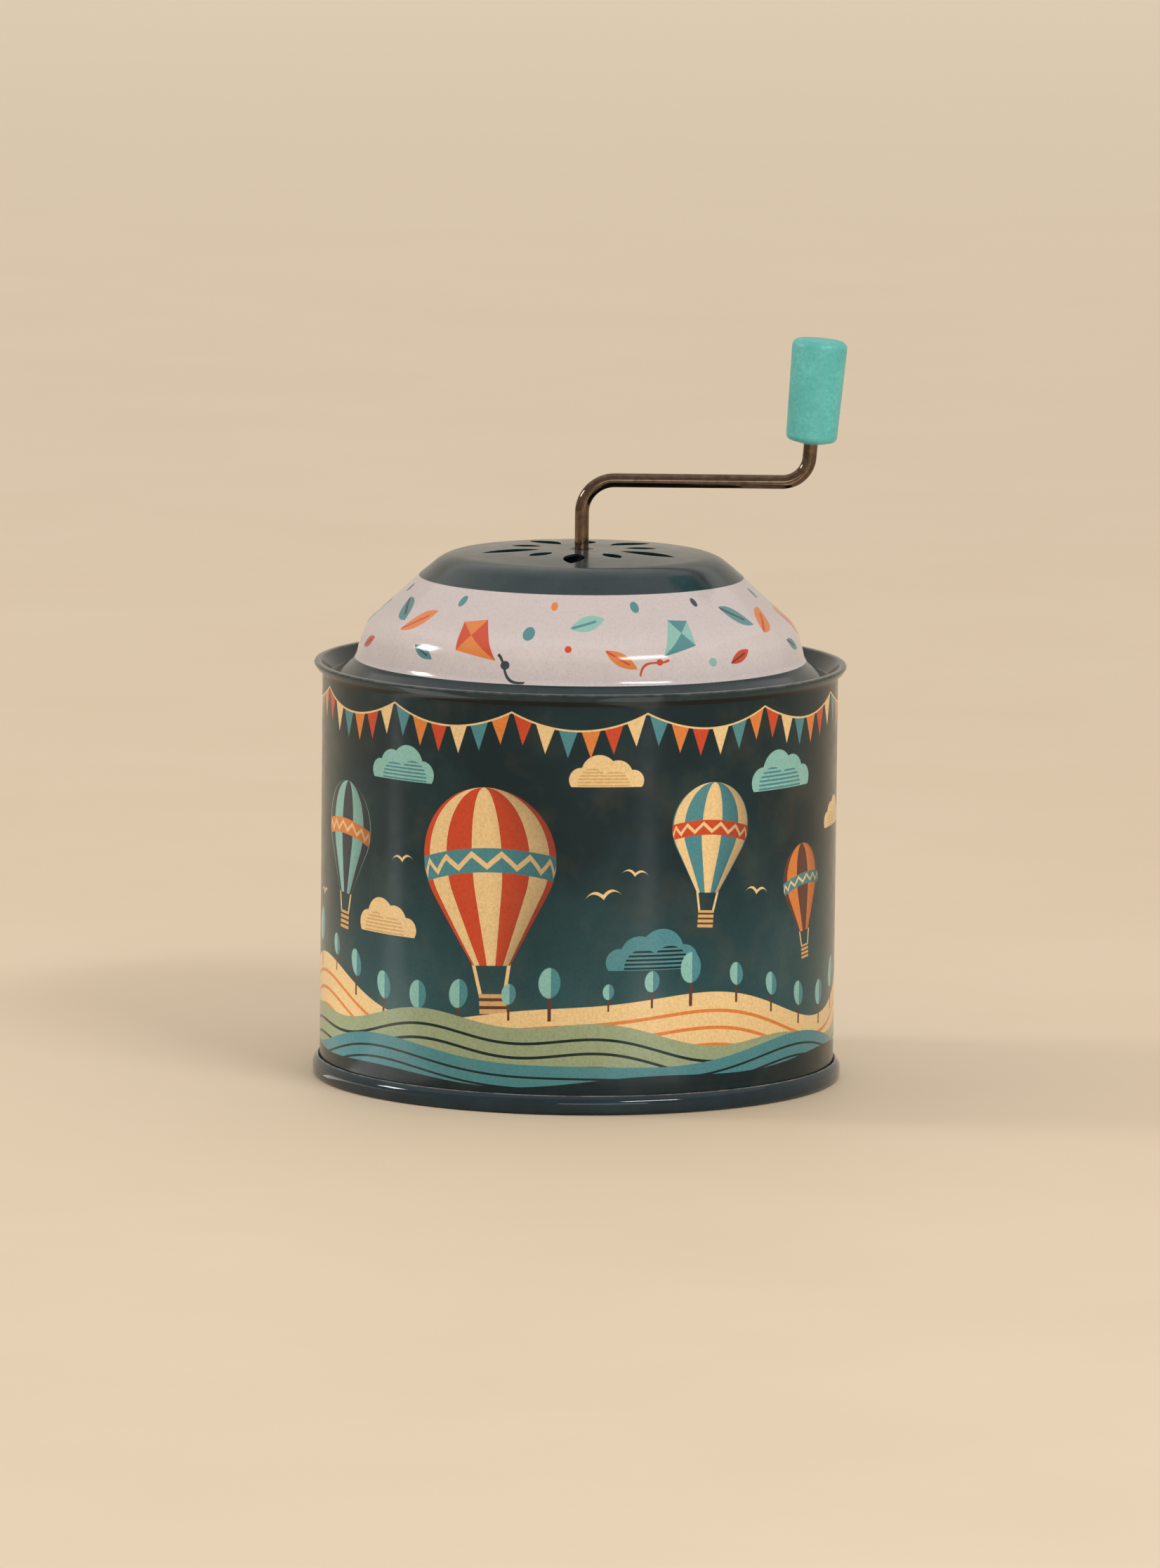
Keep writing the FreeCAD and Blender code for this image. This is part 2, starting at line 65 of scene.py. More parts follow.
def applyModifier(piece, kind, **settings):
    bpy.context.view_layer.objects.active = piece
    modifier = piece.modifiers.new(kind.lower(), kind)
    for key, value in settings.items():
        setattr(modifier, key, value)
    bpy.ops.object.modifier_apply(modifier=modifier.name)


def cutAway(piece, tools):
    bpy.ops.object.select_all(action="DESELECT")
    for tool in tools:
        tool.select_set(True)
    bpy.context.view_layer.objects.active = tools[0]
    if len(tools) > 1:
        bpy.ops.object.join()
    applyModifier(piece, "BOOLEAN", object=tools[0], operation="DIFFERENCE", solver="EXACT")
    bpy.data.objects.remove(tools[0])


def smooth(piece, angle=35):
    bpy.ops.object.select_all(action="DESELECT")
    piece.select_set(True)
    bpy.context.view_layer.objects.active = piece
    bpy.ops.object.shade_smooth_by_angle(angle=math.radians(angle))


def tidyNormals():
    bpy.ops.mesh.select_all(action="SELECT")
    bpy.ops.mesh.remove_doubles(threshold=1e-6)
    bpy.ops.mesh.normals_make_consistent(inside=False)


def firstPoint(place):
    # one vertex to draw from, the way a line is started by hand
    startPiece()
    bpy.ops.mesh.primitive_plane_add(size=mm, location=place, enter_editmode=True)
    bpy.ops.mesh.merge(type="CENTER")


def drawLine(points):
    firstPoint(points[0])
    for before, after in zip(points, points[1:]):
        step = Vector(after) - Vector(before)
        bpy.ops.mesh.extrude_region_move(TRANSFORM_OT_translate={"value": step})


def bentLine(corners, arcStep=0.35):
    # corners are (r, z, bend) in mm; each bend becomes a run of short steps
    points = []
    for i, (r, z, bend) in enumerate(corners):
        corner = Vector((r, z))
        if bend == 0 or i in (0, len(corners) - 1):
            points.append(corner)
            continue
        come = Vector(corners[i - 1][:2]) - corner
        leave = Vector(corners[i + 1][:2]) - corner
        turn = math.pi - come.angle(leave)
        reach = min(bend * math.tan(turn / 2), 0.49 * come.length, 0.49 * leave.length)
        radius = reach / math.tan(turn / 2)
        come.normalize()
        leave.normalize()
        middle = corner + (come + leave).normalized() * radius / math.cos(turn / 2)
        start = corner + come * reach - middle
        sign = 1 if come.cross(leave) < 0 else -1
        count = max(4, math.ceil(radius * turn / arcStep))
        for k in range(count + 1):
            a = sign * turn * k / count
            c, s = math.cos(a), math.sin(a)
            points.append(middle + Vector((start.x * c - start.y * s, start.x * s + start.y * c)))
    return [(p.x * mm, 0, p.y * mm) for p in points]


def turnPiece(name, corners, steps=224, arcStep=0.35):
    drawLine(bentLine(corners, arcStep))
    bpy.ops.mesh.select_all(action="SELECT")
    bpy.ops.mesh.spin(steps=steps, angle=2 * math.pi, center=(0, 0, 0), axis=(0, 0, 1))
    tidyNormals()
    return endPiece(name)


# the tin's own sizes, in mm

tin = {
    "sheet": 0.3, "foldGap": 0.06, "wallRadius": 36.5, "middleZ": 30.0, "hookZ": 1.0,
    "seamLine": (0.32, 0.16), "seamEnds": (3.4, 56.6),
}
# three layers folded together on one slope: the lid's flange, the wall's flare and the lid's hem
lipSizes = {"stand": 1.2, "crest": 59.0, "bend": 0.32, "hem": 1.25, "slope": 33.0, "flareBend": 1.6}
lipSlope = math.radians(lipSizes["slope"])
lipReach = lipSizes["bend"] * (math.tan((math.pi / 2 + lipSlope) / 2) - 1)
lipOut = tin["wallRadius"] + lipSizes["stand"] + lipReach
lipIn = lipOut - (3 * tin["sheet"] + 2 * tin["foldGap"]) / math.cos(lipSlope)
flareCrest = lipOut - (tin["sheet"] + tin["foldGap"]) / math.cos(lipSlope)
flareFoot = lipSizes["crest"] - (flareCrest - tin["wallRadius"]) / math.tan(lipSlope)
flareTop = lipSizes["crest"] - 2 * tin["foldGap"] - tin["sheet"] * (1 + math.sin(lipSlope))
flareOut = tin["wallRadius"] + (flareTop - flareFoot) * math.tan(lipSlope)


def makeWall():
    t = tin
    wall = turnPiece("tinWall", [
        (flareOut, flareTop, 0),
        (t["wallRadius"], flareFoot, lipSizes["flareBend"]),
        (t["wallRadius"], t["middleZ"], 0),
        (t["wallRadius"], t["hookZ"], 0),
    ])
    applyModifier(wall, "SOLIDIFY", thickness=t["sheet"] * mm, offset=-1)
    # the line where the two ends of the sheet lock together, down the back
    width, depth = t["seamLine"]
    low, high = t["seamEnds"]
    startPiece()
    bpy.ops.mesh.primitive_cube_add(size=mm, location=(0, t["wallRadius"] * mm, (low + high) / 2 * mm),
                                    scale=(width, 2 * depth, high - low))
    cutAway(wall, [endPiece("seamTool")])
    smooth(wall)
    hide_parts("body_wall")
    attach(wall, "tin")
    return wall


baseSizes = {
    "recess": 3.2, "panelBead": (24.0, 31.4, 0.35), "beadRun": 0.4, "beadBend": 0.3, "panelBend": 0.35,
    # the ring below: how far it stands out, its height and how far its top slopes down
    "stand": 1.0, "height": 2.8, "drop": 0.7, "footBend": 0.65, "topBend": 1.2,
    "foldSink": 0.2, "innerBend": 0.2,
}
ringRadius = tin["wallRadius"] + baseSizes["stand"]
foldRadius = tin["wallRadius"] + tin["foldGap"]
ringTurn = math.atan2(ringRadius - tin["sheet"] - foldRadius, baseSizes["drop"])
ringTop = baseSizes["height"] - tin["sheet"] * (1 - math.sin(ringTurn))


def makeBase():
    t = tin
    b = baseSizes
    chuck = t["wallRadius"] - t["sheet"] - t["foldGap"]
    panel = b["recess"]
    beadIn, beadOut, beadRise = b["panelBead"]
    ringEdge = b["height"] - b["drop"] - t["sheet"] * (1 - math.tan(ringTurn / 2))
    base = turnPiece("baseRing", [
        (0, panel, 0),
        (beadIn, panel, b["beadBend"]),
        (beadIn + b["beadRun"], panel + beadRise, b["beadBend"]),
        (beadOut - b["beadRun"], panel + beadRise, b["beadBend"]),
        (beadOut, panel, b["beadBend"]),
        (chuck - t["sheet"], panel, b["panelBend"]),
        (chuck - t["sheet"], 0, b["footBend"]),
        (ringRadius, 0, b["footBend"]),
        (ringRadius, ringEdge, b["topBend"]),
        (foldRadius + t["sheet"] * math.cos(ringTurn), ringTop, 0),
        (foldRadius, ringTop - b["foldSink"], 0),
        (foldRadius, t["hookZ"] - b["foldSink"], 0),
        (chuck, t["hookZ"] - b["foldSink"], 0),
        (chuck, panel + t["sheet"], b["innerBend"]),
        (0, panel + beadRise + t["sheet"], 0),
    ], arcStep=0.12)
    smooth(base)
    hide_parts("base_disc")
    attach(base, "tin")
    return base


lidSizes = {
    "hole": 1.71, "grooveDepth": 2.05, "grooveFloor": 0.5, "grooveBend": 0.8,
    # from the groove inwards: run, rise, and the bend at the upper end
    "skirt": (3.05, 2.45, 3.0), "side": (1.25, 4.7, 5.5), "shoulder": (7.65, 7.05, 2.0),
    "capSide": (3.7, 3.1, 6.0), "capTop": (10.0, 0.75, 100.0),
    # slots: near end, length and width; the first one's place round; steps along a side; height of the cutter
    "longSlots": (6.0, 8.5, 3.0), "shortSlots": (6.3, 4.6, 2.3), "slotTurn": 264.0, "pairs": 5,
    "slotSteps": 14, "cutter": 8.0,
}


def lidCorners():
    # radius, height and bend where each stretch of the lid ends, from the hem to the top of the cap
    s = lidSizes
    crest, bend, hem = lipSizes["crest"], lipSizes["bend"], lipSizes["hem"]
    r = lipIn - s["grooveDepth"] * math.tan(lipSlope)
    z = crest - s["grooveDepth"]
    corners = {
        "hem": (lipOut - hem * math.sin(lipSlope), crest - hem * math.cos(lipSlope), 0),
        "lipOut": (lipOut, crest, bend),
        "lipIn": (lipIn, crest, bend),
        "grooveOut": (r, z, s["grooveBend"]),
        "grooveIn": (r - s["grooveFloor"], z, s["grooveBend"]),
    }
    r -= s["grooveFloor"]
    for stretch in ("skirt", "side", "shoulder", "capSide", "capTop"):
        run, rise, bend = s[stretch]
        r, z = r - run, z + rise
        corners[stretch] = (r, z, bend)
    return corners


lidEnds = lidCorners()
stepZ = lidEnds["shoulder"][1]
crownZ = lidEnds["capTop"][1]


def petalPrism(near, length, width, turn):
    # lens outline drawn point by point, filled and pulled up through the cap
    half = length / 2
    radius = (half * half + width * width / 4) / width
    sweep = math.asin(half / radius)
    steps = lidSizes["slotSteps"]
    points = []
    for side in (1, -1):
        for k in range(steps):
            a = side * sweep * (2 * k / steps - 1)
            x = near + half + side * radius * math.sin(a * side)
            y = side * (radius * math.cos(a) - radius + width / 2)
            points.append(Vector((x, y)))
    spun = Quaternion((0, 0, 1), math.radians(turn))
    drawLine([spun @ Vector((p.x * mm, p.y * mm, stepZ * mm)) for p in points])
    bpy.ops.mesh.select_all(action="SELECT")
    bpy.ops.mesh.edge_face_add()
    bpy.ops.mesh.extrude_region_move(TRANSFORM_OT_translate={"value": (0, 0, lidSizes["cutter"] * mm)})
    tidyNormals()
    return endPiece("slotTool")


def makeLid():
    s = lidSizes
    profile = [*lidEnds.values(), (s["hole"], crownZ, 0)]
    lid = turnPiece("domeLid", profile[::-1], steps=256, arcStep=0.2)
    applyModifier(lid, "SOLIDIFY", thickness=tin["sheet"] * mm, offset=-1)
    pitch = 360 / s["pairs"]
    tools = []
    for k in range(s["pairs"]):
        tools.append(petalPrism(*s["longSlots"], s["slotTurn"] + k * pitch))
        tools.append(petalPrism(*s["shortSlots"], s["slotTurn"] + (k + 0.5) * pitch))
    cutAway(lid, tools)
    smooth(lid, 30)
    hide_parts("lid")
    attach(lid, "tin")
    return lid


crankSizes = {
    "wire": 2.0, "low": 45.15, "armRise": 9.8, "throw": 32.25, "knobRise": 6.0, "bendIn": 4.6, "bendOut": 3.8,
    "lean": 4.5, "stem": 10.8, "sides": 40, "bendSteps": 20,
}
armZ = crownZ + crankSizes["armRise"]
knobFoot = Vector((crankSizes["throw"], 0, armZ + crankSizes["knobRise"]))
lean = math.radians(crankSizes["lean"])


def makeCrank():
    # a disc pulled straight and spun round each bend, as wire is bent over a former
    c = crankSizes
    startPiece()
    bpy.ops.mesh.primitive_circle_add(vertices=c["sides"], radius=c["wire"] / 2 * mm, fill_type="NGON",
                                      location=(0, 0, c["low"] * mm), enter_editmode=True)
    firstRun = armZ - c["bendIn"] - c["low"]
    bpy.ops.mesh.extrude_region_move(TRANSFORM_OT_translate={"value": (0, 0, firstRun * mm)})
    bpy.ops.mesh.spin(steps=c["bendSteps"], angle=-math.pi / 2, axis=(0, 1, 0),
                      center=(c["bendIn"] * mm, 0, (armZ - c["bendIn"]) * mm))
    cornerX = c["throw"] - c["knobRise"] * math.tan(lean)
    reach = c["bendOut"] * math.tan((math.pi / 2 - lean) / 2)
    armRun = cornerX - c["bendIn"] - reach
    bpy.ops.mesh.extrude_region_move(TRANSFORM_OT_translate={"value": (armRun * mm, 0, 0)})
    bpy.ops.mesh.spin(steps=c["bendSteps"], angle=math.pi / 2 - lean, axis=(0, 1, 0),
                      center=((cornerX - reach) * mm, 0, (armZ + c["bendOut"]) * mm))
    stemRun = (c["knobRise"] / math.cos(lean) + c["stem"] - reach) * mm
    bpy.ops.mesh.extrude_region_move(
        TRANSFORM_OT_translate={"value": (math.sin(lean) * stemRun, 0, math.cos(lean) * stemRun)})
    tidyNormals()
    crank = endPiece("crankWire")
    smooth(crank, 40)
    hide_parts("crank_rod")
    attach(crank, "crank")
    return crank


knobSizes = {
    "length": 14.3, "low": 3.6, "top": 3.925, "lowRound": 0.9, "topRound": 1.1, "boss": 0.55,
    "bossRadius": 1.3, "bossBend": 0.08, "runGap": 0.05, "stemRoom": 0.5, "boreEdge": 0.05,
}


def makeKnob():
    k = knobSizes
    bore = crankSizes["wire"] / 2 + k["runGap"]
    boreEnd = crankSizes["stem"] + k["stemRoom"]
    knob = turnPiece("crankKnob", [
        (0, boreEnd, 0),
        (bore, boreEnd, 0),
        (bore, -k["boss"] + k["boreEdge"], 0),
        (bore + k["boreEdge"], -k["boss"], 0),
        (k["bossRadius"], -k["boss"], k["bossBend"]),
        (k["low"], 0, k["lowRound"]),
        (k["top"], k["length"], k["topRound"]),
        (0, k["length"], 0),
    ], steps=96, arcStep=0.15)
    knob.rotation_euler = (0, lean, 0)
    knob.location = knobFoot * mm
    startPiece()
    knob.select_set(True)
    bpy.context.view_layer.objects.active = knob
    knob = endPiece("crankKnob")
    smooth(knob, 40)
    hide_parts("crank_knob")
    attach(knob, "knob")
    return knob


wall = makeWall()
base = makeBase()
lid = makeLid()
crank = makeCrank()
knob = makeKnob()
print("pieces modelled:", [len(o.data.polygons) for o in (wall, base, lid, crank, knob)])


# materials

def plain(color):
    # written as seen on screen, 0 to 255, and turned to linear light
    out = []
    for v in color:
        v /= 255
        out.append(v / 12.92 if v <= 0.04045 else ((v + 0.055) / 1.055) ** 2.4)
    return (*out, 1)


def newFinish(name):
    finish = bpy.data.materials.new(name)
    finish.use_nodes = True
    tree = finish.node_tree
    tree.nodes.clear()
    out = tree.nodes.new("ShaderNodeOutputMaterial")
    shader = tree.nodes.new("ShaderNodeBsdfPrincipled")
    tree.links.new(shader.outputs["BSDF"], out.inputs["Surface"])
    return finish, tree, shader


def feed(tree, socket, value):
    if isinstance(value, bpy.types.NodeSocket):
        tree.links.new(value, socket)
    else:
        socket.default_value = value


def calc(tree, operation, a, b=0.0, c=0.0, clamp=False):
    node = tree.nodes.new("ShaderNodeMath")
    node.operation = operation
    node.use_clamp = clamp
    for socket, value in zip(node.inputs, (a, b, c)):
        feed(tree, socket, value)
    return node.outputs[0]


def layInk(tree, under, ink, mask):
    node = tree.nodes.new("ShaderNodeMix")
    node.data_type = "RGBA"
    feed(tree, node.inputs["Factor"], mask)
    feed(tree, node.inputs["A"], under)
    feed(tree, node.inputs["B"], ink)
    return node.outputs["Result"]


def noise(tree, where, scale, detail, roughness):
    node = tree.nodes.new("ShaderNodeTexNoise")
    feed(tree, node.inputs["Vector"], where)
    node.inputs["Scale"].default_value = scale
    node.inputs["Detail"].default_value = detail
    node.inputs["Roughness"].default_value = roughness
    return node.outputs["Fac"]


def spread(tree, value, low, high, toLow, toHigh):
    node = tree.nodes.new("ShaderNodeMapRange")
    feed(tree, node.inputs["Value"], value)
    for key, number in (("From Min", low), ("From Max", high), ("To Min", toLow), ("To Max", toHigh)):
        node.inputs[key].default_value = number
    return node.outputs["Result"]


def bumpFrom(tree, height, strength, distance):
    node = tree.nodes.new("ShaderNodeBump")
    node.inputs["Strength"].default_value = strength
    node.inputs["Distance"].default_value = distance
    feed(tree, node.inputs["Height"], height)
    return node.outputs["Normal"]


def objectPlace(tree):
    return tree.nodes.new("ShaderNodeTexCoord").outputs["Object"]


def split(tree, vector):
    node = tree.nodes.new("ShaderNodeSeparateXYZ")
    feed(tree, node.inputs[0], vector)
    return node.outputs["X"], node.outputs["Y"], node.outputs["Z"]


softness = 0.07  # mm that an ink's edge takes to fade

inks = {name: plain(color) for name, color in {
    "night": (3, 33, 39), "deep": (11, 26, 32), "teal": (72, 132, 140), "mist": (133, 184, 176),
    "sage": (146, 160, 126), "cream": (228, 196, 142), "tan": (204, 166, 110), "orange": (214, 126, 60),
    "rust": (196, 70, 38), "brown": (92, 54, 42), "navy": (44, 56, 68), "underLipShade": (5, 13, 16),
    "paper": (210, 201, 203), "paperSlopeShade": (197, 188, 191), "paperPatch": (197, 187, 191),
    "paperGrain": (120, 112, 118), "enamel": (18, 42, 50), "enamelPatch": (30, 54, 62),
    "lipWarmReflection": (70, 62, 53), "lipRubbed": (118, 114, 106), "ring": (10, 33, 44), "ringPatch": (18, 46, 58),
    "ringRubbed": (132, 130, 126), "floor": (226, 210, 188), "floorPatch": (218, 200, 176),
    "floorFarLit": (250, 238, 220),
}.items()}

# noises: scale per metre, detail and roughness
grains = {
    "sky": (60.0, 3.0, 0.6), "drift": (130.0, 3.0, 0.6), "press": (2600.0, 2.0, 0.7),
    "sheen": (420.0, 3.0, 0.6), "paper": (240.0, 3.0, 0.6), "lipWear": (700.0, 3.0, 0.6),
    "ring": (200.0, 3.0, 0.6), "ringPress": (2400.0, 2.0, 0.7), "ringWear": (500.0, 3.0, 0.6),
    "plastic": (260.0, 3.0, 0.6), "plasticSkin": (1800.0, 2.0, 0.6), "floor": (14.0, 4.0, 0.6),
    "wallDents": (90.0, 1.0, 0.5), "lidDents": (110.0, 1.0, 0.5), "ringDents": (160.0, 1.0, 0.5),
}


def angleAt(tree, place):
    # round from the front, in radians
    x, y = split(tree, place)[:2]
    return calc(tree, "ARCTAN2", x, calc(tree, "MULTIPLY", y, -1.0))


def heightAt(tree, place):
    # in mm
    return calc(tree, "MULTIPLY", split(tree, place)[2], 1 / mm)


def inside(tree, distance, edge, soft=softness):
    # 1 where the distance is under the edge
    return calc(tree, "MULTIPLY_ADD", distance, -1 / soft, edge / soft + 0.5, clamp=True)


def both(tree, a, b):
    return calc(tree, "MULTIPLY", a, b)


def apart(tree, a, b):
    return calc(tree, "ABSOLUTE", calc(tree, "SUBTRACT", a, b))


def seenFrom(tree, page, at, size=1.0, turn=0.0):
    # page coordinates as a motif sees them: centred, turned and divided by its size
    s, h = page
    c, n = math.cos(math.radians(turn)) / size, math.sin(math.radians(turn)) / size
    if turn == 0:
        return calc(tree, "MULTIPLY_ADD", s, c, -at[0] * c), calc(tree, "MULTIPLY_ADD", h, c, -at[1] * c)
    x = calc(tree, "MULTIPLY_ADD", s, c, calc(tree, "MULTIPLY_ADD", h, n, -at[0] * c - at[1] * n))
    y = calc(tree, "MULTIPLY_ADD", s, -n, calc(tree, "MULTIPLY_ADD", h, c, at[0] * n - at[1] * c))
    return x, y


def roundGap(tree, x, y, at, radius):
    # about the distance past a circle's edge, with no square root
    dx = calc(tree, "SUBTRACT", x, at[0])
    dy = calc(tree, "SUBTRACT", y, at[1])
    square = calc(tree, "MULTIPLY_ADD", dx, dx, calc(tree, "MULTIPLY", dy, dy))
    return calc(tree, "MULTIPLY_ADD", square, 0.5 / radius, -0.5 * radius)


def printDisc(tree, color, page, at, radius, ink):
    return layInk(tree, color, ink, inside(tree, roundGap(tree, *page, at, radius), 0.0))


# a balloon in radii of its envelope, with heights from the envelope's middle
balloon = {
    "ropeLean": 0.2, "ropeApart": 0.56, "ropeHalf": 0.026, "ropeMiddle": -1.72, "ropeReach": 0.24,
    "basketMiddle": -2.1, "basketHalf": 0.2, "weaveRows": 9.0, "weaveShare": 0.4,
    "coneTop": -0.5, "coneSlope": 0.586, "mouth": -1.5, "leastWidth": 0.01,
    "sag": 0.14, "beltMiddle": -0.02, "beltHalf": 0.17,
    "zigzags": 2.2, "zigzagRise": 0.36, "zigzagFoot": -0.11, "zigzagHalf": 0.045,
    "shadeFrom": 0.05, "shade": 0.55,
}


def printBalloon(tree, color, page, at, size, inkA, inkB, belt, gores, turn):
    b = balloon
    x, y = seenFrom(tree, page, at, size, turn)
    soft = softness / size
    ax = calc(tree, "ABSOLUTE", x)
    # ropes and basket hang under the envelope
    rope = apart(tree, ax, calc(tree, "MULTIPLY_ADD", y, b["ropeLean"], b["ropeApart"]))
    rope = inside(tree, rope, b["ropeHalf"], soft)
    span = inside(tree, apart(tree, y, b["ropeMiddle"]), b["ropeReach"], soft)
    color = layInk(tree, color, inks["cream"], both(tree, rope, span))
    basket = calc(tree, "MAXIMUM", apart(tree, y, b["basketMiddle"]), ax)
    weave = calc(tree, "FRACT", calc(tree, "MULTIPLY", y, b["weaveRows"]))
    woven = layInk(tree, inks["tan"], inks["brown"], calc(tree, "LESS_THAN", weave, b["weaveShare"]))
    color = layInk(tree, color, woven, inside(tree, basket, b["basketHalf"], soft))
    # the envelope is a ball that runs out into a cone
    upper = calc(tree, "MAXIMUM", y, b["coneTop"])
    ball = calc(tree, "SQRT", calc(tree, "SUBTRACT", 1.0, calc(tree, "MULTIPLY", upper, upper), clamp=True))
    cone = calc(tree, "MINIMUM", calc(tree, "SUBTRACT", y, b["coneTop"]), 0.0)
    width = calc(tree, "MULTIPLY_ADD", cone, b["coneSlope"], ball)
    envelope = inside(tree, calc(tree, "SUBTRACT", ax, width), -soft / 2, soft)
    envelope = both(tree, envelope, calc(tree, "GREATER_THAN", y, b["mouth"]))
    across = calc(tree, "DIVIDE", x, calc(tree, "MAXIMUM", width, b["leastWidth"]))
    bulge = calc(tree, "ARCSINE", across)
    gore = calc(tree, "FRACT", calc(tree, "MULTIPLY_ADD", bulge, gores / (2 * math.pi), 0.25))
    cloth = layInk(tree, inkA, inkB, calc(tree, "LESS_THAN", gore, 0.5))
    sag = calc(tree, "MULTIPLY_ADD", calc(tree, "MULTIPLY", across, across), b["sag"], y)
    band = inside(tree, apart(tree, sag, b["beltMiddle"]), b["beltHalf"], soft)
    cloth = layInk(tree, cloth, belt, band)
    zigzag = calc(tree, "PINGPONG", calc(tree, "MULTIPLY", bulge, b["zigzags"]), 0.5)
    zigzag = calc(tree, "MULTIPLY_ADD", zigzag, b["zigzagRise"], b["zigzagFoot"])
    zigzag = inside(tree, apart(tree, sag, zigzag), b["zigzagHalf"], soft)
    cloth = layInk(tree, cloth, inks["cream"], both(tree, zigzag, band))
    cloth = layInk(tree, cloth, inks["deep"], spread(tree, across, b["shadeFrom"], 1.0, 0.0, b["shade"]))
    return layInk(tree, color, cloth, envelope)


# a cloud in parts of its size: discs as (across, up, radius), cut off flat below
cloud = {
    "puffs": ((-0.72, -0.02, 0.3), (-0.28, 0.13, 0.42), (0.24, 0.2, 0.5), (0.74, 0.0, 0.34)),
    "shades": ((-0.2, -0.16, 0.42), (0.42, -0.12, 0.44)), "shadeRows": 11.0, "flat": 0.2,
}


def discsGap(tree, x, y, discs, flip):
    gaps = [roundGap(tree, x, y, (across * flip, up), radius) for across, up, radius in discs]
    nearest = gaps[0]
    for gap in gaps[1:]:
        nearest = calc(tree, "MINIMUM", nearest, gap)
    return nearest


def printCloud(tree, color, page, at, size, ink, shade, flip):
    x, y = seenFrom(tree, page, at, size)
    soft = softness / size
    flat = inside(tree, calc(tree, "MULTIPLY", y, -1.0), cloud["flat"], soft)
    body = both(tree, inside(tree, discsGap(tree, x, y, cloud["puffs"], flip), 0.0, soft), flat)
    rows = calc(tree, "FRACT", calc(tree, "MULTIPLY", y, cloud["shadeRows"]))
    rows = calc(tree, "LESS_THAN", rows, 0.5)
    lower = inside(tree, discsGap(tree, x, y, cloud["shades"], flip), 0.0, soft)
    return layInk(tree, color, layInk(tree, ink, shade, both(tree, lower, rows)), body)


# a bird in parts of its size: where its wings end, how low its body is, and its thickness
bird = {"span": 1.15, "body": -0.2, "thick": 0.15, "taper": -0.14}


def printBird(tree, color, page, at, size, ink, turn):
    x, y = seenFrom(tree, page, at, size, turn)
    ax = calc(tree, "ABSOLUTE", x)
    wing = calc(tree, "MULTIPLY_ADD", calc(tree, "SUBTRACT", bird["span"], ax), ax, bird["body"])
    thick = calc(tree, "MULTIPLY_ADD", ax, bird["taper"], bird["thick"])
    off = calc(tree, "SUBTRACT", apart(tree, y, wing), thick)
    return layInk(tree, color, ink, inside(tree, off, 0.0, softness / size))


# a leaf in parts of its half length: half width, and its rib's slimness, middle and half length
leaf = {"half": 0.36, "ribSlim": 12.0, "ribMiddle": -0.2, "ribHalf": 0.7}


def printLeaf(tree, color, page, at, size, turn, ink, vein):
    x, y = seenFrom(tree, page, at, size, turn)
    soft = softness / size
    ay = calc(tree, "ABSOLUTE", y)
    edge = calc(tree, "MULTIPLY_ADD", calc(tree, "MULTIPLY", x, x), leaf["half"], ay)
    color = layInk(tree, color, ink, inside(tree, edge, leaf["half"], soft))
    rib = calc(tree, "MULTIPLY", ay, leaf["ribSlim"])
    rib = calc(tree, "MAXIMUM", rib, apart(tree, x, leaf["ribMiddle"]))
    return layInk(tree, color, vein, inside(tree, rib, leaf["ribHalf"], soft))


def hillTop(tree, angle, level, waves):
    top = level
    for count, phase, swing in waves:
        wave = calc(tree, "SINE", calc(tree, "MULTIPLY_ADD", angle, float(count), math.radians(phase)))
        top = calc(tree, "MULTIPLY_ADD", wave, swing, top)
    return top


furrows = {"first": 0.5, "share": 0.2}  # in parts of a furrow's step


def printHill(tree, color, top, height, ink, furrow, step):
    depth = calc(tree, "SUBTRACT", top, height)
    rows = calc(tree, "FRACT", calc(tree, "MULTIPLY", depth, 1 / step))
    rows = calc(tree, "LESS_THAN", rows, furrows["share"])
    rows = both(tree, rows, calc(tree, "GREATER_THAN", depth, step * furrows["first"]))
    field = layInk(tree, ink, furrow, rows)
    return layInk(tree, color, field, inside(tree, calc(tree, "MULTIPLY", depth, -1.0), 0.0))


# trees: size in mm and place in the cell, each as its least and its range; the rest in parts of the size
grove = {
    "lot": (12.9, 437.5), "size": (1.0, 1.3), "place": (-0.65, 0.3), "trunkSlim": 7.0, "trunkReach": 0.9,
    "crownFlat": 0.72, "crownUp": -1.35, "crownEdge": 0.62, "crownSoft": 0.1, "shadeFrom": 0.1,
}


